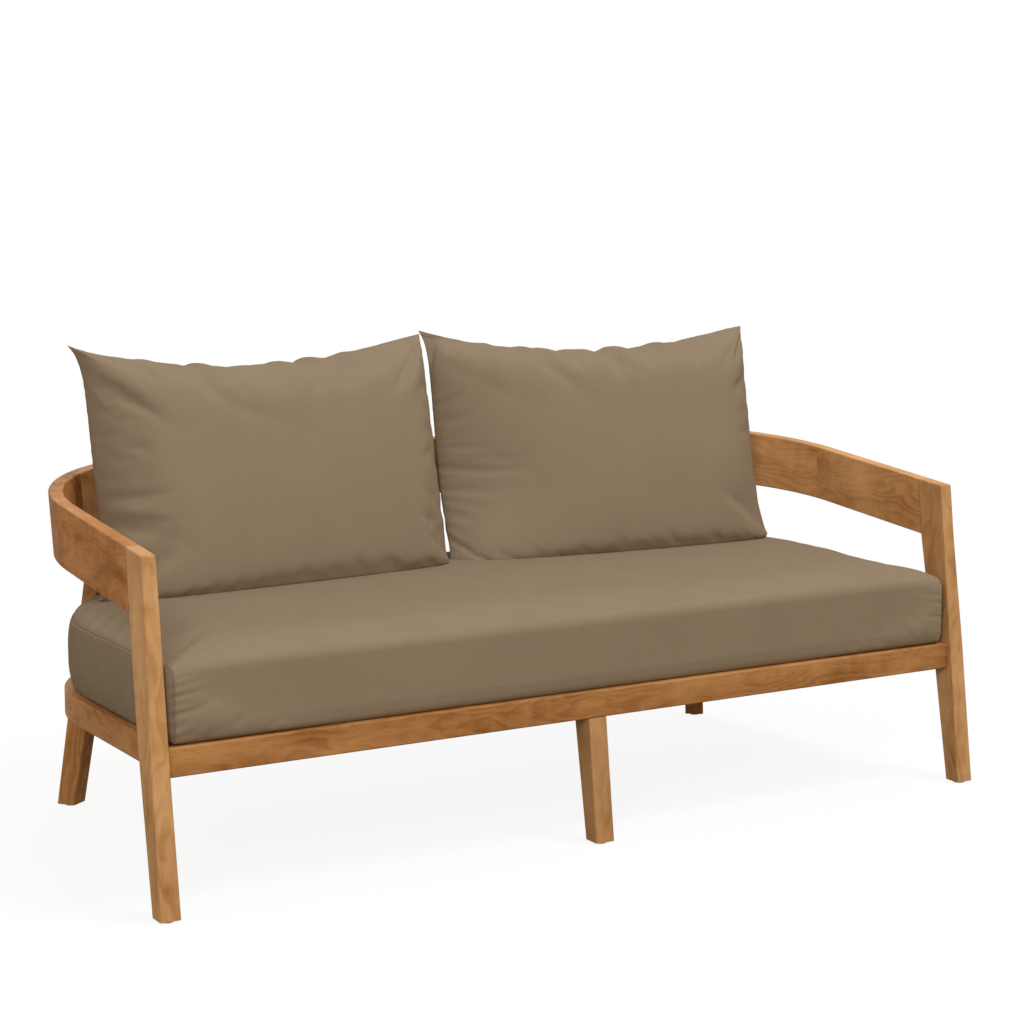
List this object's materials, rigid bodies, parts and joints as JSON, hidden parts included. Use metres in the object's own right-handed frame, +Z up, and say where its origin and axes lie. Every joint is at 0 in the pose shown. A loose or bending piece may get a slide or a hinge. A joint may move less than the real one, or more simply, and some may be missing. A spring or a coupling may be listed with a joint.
{
  "type": "patio loveseat",
  "caption": "Two-seat outdoor sofa: a bent wooden band makes the arms and back on splayed legs, with a loose boxed seat cushion and loose knife-edge back cushions.",
  "frame": {"origin": "on the floor, under the middle of the sofa's overall box", "axes": "+X to the sitter's left as seen from the front (the viewer's right), +Y to the back, +Z up"},
  "size_m": [1.746, 0.8073, 0.8971],
  "materials": {
    "teak": "oiled teak with a flame grain",
    "inner_wood": "plain sawn teak, sanded",
    "tenon_wood": "planed hardwood",
    "cushion_fabric": "fine plain weave outdoor fabric",
    "glide_nylon": "moulded nylon",
    "bolt_steel": "stainless steel",
    "insert_brass": "machined brass"
  },
  "bodies": {
    "frame": {"arm_left": "teak", "arm_right": "teak", "back_board": "teak", "band_corner_left_front": "teak", "band_corner_left_rear": "teak", "band_corner_right_front": "teak", "band_corner_right_rear": "teak", "band_tenons": "tenon_wood", "centre_brace": "inner_wood", "centre_front_leg": "teak", "corner_block_left": "inner_wood", "corner_block_right": "inner_wood", "corner_ledger_left": "inner_wood", "corner_ledger_right": "inner_wood", "foot_glides": "glide_nylon", "frame_corner_left_front": "teak", "frame_corner_left_rear": "teak", "frame_corner_right_front": "teak", "frame_corner_right_rear": "teak", "frame_tenons": "tenon_wood", "front_ledger_left": "inner_wood", "front_ledger_right": "inner_wood", "front_leg_left": "teak", "front_leg_right": "teak", "front_rail": "teak", "leg_tenons": "tenon_wood", "rear_ledger_left": "inner_wood", "rear_ledger_right": "inner_wood", "rear_leg_bolts": "bolt_steel", "rear_leg_inserts": "insert_brass", "rear_leg_left": "teak", "rear_leg_right": "teak", "rear_leg_washers": "bolt_steel", "rear_rail": "teak", "seat_slat_01": "inner_wood", "seat_slat_02": "inner_wood", "seat_slat_03": "inner_wood", "seat_slat_04": "inner_wood", "seat_slat_05": "inner_wood", "seat_slat_06": "inner_wood", "seat_slat_07": "inner_wood", "seat_slat_08": "inner_wood", "seat_slat_09": "inner_wood", "seat_slat_10": "inner_wood", "seat_slat_11": "inner_wood", "seat_slat_12": "inner_wood", "seat_slat_13": "inner_wood", "seat_slat_14": "inner_wood", "side_rail_left": "teak", "side_rail_right": "teak"},
    "seat_cushion": {"seat_cushion": "cushion_fabric"},
    "back_cushion_left": {"back_cushion_left": "cushion_fabric"},
    "back_cushion_right": {"back_cushion_right": "cushion_fabric"}
  },
  "joints": [
    {"name": "seat_cushion_lift", "type": "slide", "parent": "frame", "child": "seat_cushion", "axis": [0, -0.3, 0.9539], "range_m": [0, 0.25]},
    {"name": "back_cushion_left_lift", "type": "slide", "parent": "seat_cushion", "child": "back_cushion_left", "axis": [0, -0.5, 0.866], "range_m": [0, 0.4]},
    {"name": "back_cushion_right_lift", "type": "slide", "parent": "seat_cushion", "child": "back_cushion_right", "axis": [0, -0.5, 0.866], "range_m": [0, 0.4]}
  ]
}
